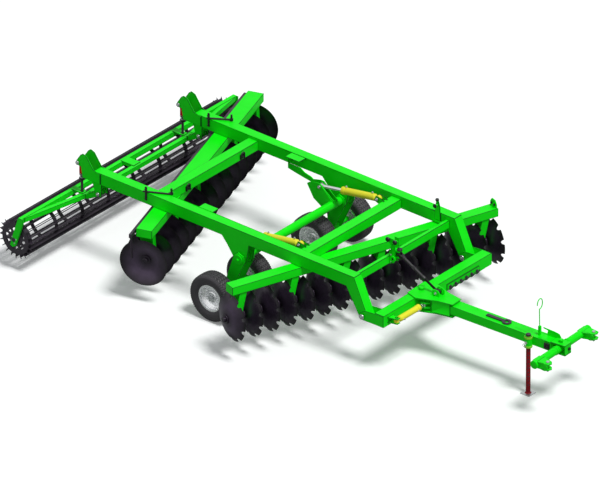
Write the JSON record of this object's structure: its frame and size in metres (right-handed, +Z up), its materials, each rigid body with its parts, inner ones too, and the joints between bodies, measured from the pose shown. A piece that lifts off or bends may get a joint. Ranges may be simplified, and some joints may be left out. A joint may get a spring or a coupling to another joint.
{
  "type": "trailed disc harrow",
  "caption": "Trailed offset disc harrow: two angled disc gangs under twin beams, twin-wheel lifting axle, drawbar with jack and a rear cage roller.",
  "frame": {"origin": "on the floor under the middle of the bounding box", "axes": "+X forwards to the hitch, +Y to the left of travel, +Z up"},
  "size_m": [7.0992, 3.8612, 1.261],
  "materials": {
    "green_enamel": "satin enamel, worn at the edges",
    "black_steel": "dark oiled steel",
    "rubber": "matt",
    "white_rim": "pale enamel",
    "yellow_enamel": "satin enamel",
    "chromed_rod": "polished",
    "red_enamel": "satin enamel"
  },
  "bodies": {
    "frame": {"main_beam_left": "green_enamel", "main_beam_right": "green_enamel", "rear_cross_beam": "green_enamel", "middle_cross_beam": "green_enamel", "front_cross_beam": "green_enamel", "mast": "green_enamel", "front_gang_beam": "green_enamel", "rear_gang_beam": "green_enamel", "rear_scraper_bar": "black_steel"},
    "front_shaft_right": {"front_discs_right": "black_steel"},
    "front_shaft_left": {"front_discs_left": "black_steel"},
    "rear_shaft_right": {"rear_discs_right": "black_steel"},
    "rear_shaft_left": {"rear_discs_left": "black_steel"},
    "axle": {"rockshaft": "green_enamel"},
    "wheel_left_inner": {"tyre_left_inner": "rubber", "rim_left_inner": "white_rim"},
    "wheel_left_outer": {"tyre_left_outer": "rubber", "rim_left_outer": "white_rim"},
    "wheel_right_inner": {"tyre_right_inner": "rubber", "rim_right_inner": "white_rim"},
    "wheel_right_outer": {"tyre_right_outer": "rubber", "rim_right_outer": "white_rim"},
    "lift_left_cylinder": {"lift_left_barrel": "yellow_enamel"},
    "lift_left_piston": {"lift_left_rod": "chromed_rod"},
    "lift_right_cylinder": {"lift_right_barrel": "yellow_enamel"},
    "lift_right_piston": {"lift_right_rod": "chromed_rod"},
    "tow_frame": {"low_beam": "green_enamel"},
    "towbar": {"drawbar": "green_enamel", "hose_holder": "green_enamel", "wrench": "black_steel"},
    "swing_cylinder": {"swing_barrel": "yellow_enamel"},
    "swing_piston": {"swing_rod": "chromed_rod"},
    "link_cross": {"turnbuckle_cross": "black_steel"},
    "link_barrel": {"turnbuckle_barrel": "black_steel"},
    "link_rod": {"turnbuckle_rod": "black_steel"},
    "hitch_bar": {"hitch_crossbar": "green_enamel"},
    "jack": {"jack_leg": "red_enamel"},
    "roller_carrier": {"roller_frame": "green_enamel"},
    "roller_drum": {"roller": "black_steel"},
    "strut_left": {"strut_rod_left": "black_steel", "strut_spring_left": "red_enamel"},
    "strut_right": {"strut_rod_right": "black_steel", "strut_spring_right": "red_enamel"}
  },
  "joints": [
    {"name": "front_right_discs_turn", "type": "hinge", "parent": "frame", "child": "front_shaft_right", "pos_m": [0.1153, -1.1116, 0.519], "axis": [0.319, 0.9478, 0], "continuous": true},
    {"name": "front_left_discs_turn", "type": "hinge", "parent": "frame", "child": "front_shaft_left", "pos_m": [0.7022, 0.6323, 0.519], "axis": [0.319, 0.9478, 0], "continuous": true},
    {"name": "rear_right_discs_turn", "type": "hinge", "parent": "frame", "child": "rear_shaft_right", "pos_m": [-1.9722, -0.6467, 0.519], "axis": [-0.319, 0.9478, 0], "continuous": true},
    {"name": "rear_left_discs_turn", "type": "hinge", "parent": "frame", "child": "rear_shaft_left", "pos_m": [-2.5591, 1.0972, 0.519], "axis": [-0.319, 0.9478, 0], "continuous": true},
    {"name": "axle_lift", "type": "hinge", "parent": "frame", "child": "axle", "pos_m": [-0.6666, -0.0434, 0.735], "axis": [0, 1, 0], "range_deg": [0, 60]},
    {"name": "left_inner_wheel_turn", "type": "hinge", "parent": "axle", "child": "wheel_left_inner", "pos_m": [-0.8436, 0.5246, 0.2915], "axis": [0, 1, 0], "continuous": true},
    {"name": "left_outer_wheel_turn", "type": "hinge", "parent": "axle", "child": "wheel_left_outer", "pos_m": [-0.8436, 1.1646, 0.2915], "axis": [0, 1, 0], "continuous": true},
    {"name": "right_inner_wheel_turn", "type": "hinge", "parent": "axle", "child": "wheel_right_inner", "pos_m": [-0.8436, -0.6114, 0.2915], "axis": [0, 1, 0], "continuous": true},
    {"name": "right_outer_wheel_turn", "type": "hinge", "parent": "axle", "child": "wheel_right_outer", "pos_m": [-0.8436, -1.2514, 0.2915], "axis": [0, 1, 0], "continuous": true},
    {"name": "lift_left_swing", "type": "hinge", "parent": "frame", "child": "lift_left_cylinder", "pos_m": [0.0064, 0.6466, 1.054], "axis": [0, 1, 0], "range_deg": [0, 2.33]},
    {"name": "lift_left_stroke", "type": "slide", "parent": "lift_left_cylinder", "child": "lift_left_piston", "axis": [-0.9863, 0, -0.1647], "range_m": [-0.2515, 0]},
    {"name": "lift_right_swing", "type": "hinge", "parent": "frame", "child": "lift_right_cylinder", "pos_m": [0.0064, -0.7334, 1.054], "axis": [0, 1, 0], "range_deg": [0, 2.33]},
    {"name": "lift_right_stroke", "type": "slide", "parent": "lift_right_cylinder", "child": "lift_right_piston", "axis": [-0.9863, 0, -0.1647], "range_m": [-0.2515, 0]},
    {"name": "tow_frame_pitch", "type": "hinge", "parent": "frame", "child": "tow_frame", "pos_m": [1.1404, -0.0434, 0.64], "axis": [0, 1, 0], "range_deg": [-5, 5]},
    {"name": "drawbar_swing", "type": "hinge", "parent": "tow_frame", "child": "towbar", "pos_m": [1.3804, -0.2484, 0.671], "axis": [0, 0, 1], "range_deg": [-8, 8]},
    {"name": "swing_cylinder_turn", "type": "hinge", "parent": "tow_frame", "child": "swing_cylinder", "pos_m": [1.5284, -0.8684, 0.668], "axis": [0, 0, 1], "range_deg": [-2.4, 2.4]},
    {"name": "swing_cylinder_stroke", "type": "slide", "parent": "swing_cylinder", "child": "swing_piston", "axis": [0, 1, 0], "range_m": [-0.021, 0.021]},
    {"name": "link_cross_turn", "type": "hinge", "parent": "frame", "child": "link_cross", "pos_m": [1.0364, -0.2234, 1.075], "axis": [0, 0, 1], "range_deg": [-3.2, 3.2]},
    {"name": "link_barrel_pitch", "type": "hinge", "parent": "link_cross", "child": "link_barrel", "pos_m": [1.0364, -0.2234, 1.075], "axis": [0, 1, 0], "range_deg": [-2.8, 2.8]},
    {"name": "link_rod_stroke", "type": "slide", "parent": "link_barrel", "child": "link_rod", "axis": [0.8897, 0, -0.4566], "range_m": [-0.031, 0.031]},
    {"name": "hitch_bar_turn", "type": "hinge", "parent": "towbar", "child": "hitch_bar", "pos_m": [3.3378, -0.1479, 0.671], "axis": [0, 0, 1], "range_deg": [-15, 15]},
    {"name": "jack_raise", "type": "slide", "parent": "towbar", "child": "jack", "axis": [0, 0, 1], "range_m": [0, 0.4]},
    {"name": "roller_frame_lift", "type": "hinge", "parent": "frame", "child": "roller_carrier", "pos_m": [-2.7756, -0.0434, 0.815], "axis": [0, 1, 0], "range_deg": [0, 12]},
    {"name": "roller_turn", "type": "hinge", "parent": "roller_carrier", "child": "roller_drum", "pos_m": [-3.2996, 0.0246, 0.407], "axis": [0, 1, 0], "continuous": true},
    {"name": "strut_left_tilt", "type": "hinge", "parent": "frame", "child": "strut_left", "pos_m": [-3.0776, 0.8446, 1.12], "axis": [0, 1, 0], "range_deg": [0, 2.6]},
    {"name": "strut_right_tilt", "type": "hinge", "parent": "frame", "child": "strut_right", "pos_m": [-3.0776, -0.9314, 1.12], "axis": [0, 1, 0], "range_deg": [0, 2.6]}
  ],
  "couplings": [
    {"joint": "lift_left_swing", "follows": "axle_lift", "ratio": 0.03811},
    {"joint": "lift_left_stroke", "follows": "axle_lift", "m_per_rad": -0.23776},
    {"joint": "lift_right_swing", "follows": "axle_lift", "ratio": 0.03811},
    {"joint": "lift_right_stroke", "follows": "axle_lift", "m_per_rad": -0.23776},
    {"joint": "swing_cylinder_turn", "follows": "drawbar_swing", "ratio": -0.292},
    {"joint": "swing_cylinder_stroke", "follows": "drawbar_swing", "m_per_rad": 0.147},
    {"joint": "link_cross_turn", "follows": "drawbar_swing", "ratio": 0.39},
    {"joint": "link_barrel_pitch", "follows": "tow_frame_pitch", "ratio": 0.54},
    {"joint": "link_rod_stroke", "follows": "tow_frame_pitch", "m_per_rad": 0.3395},
    {"joint": "strut_left_tilt", "follows": "roller_frame_lift", "ratio": 0.21},
    {"joint": "strut_right_tilt", "follows": "roller_frame_lift", "ratio": 0.21}
  ]
}
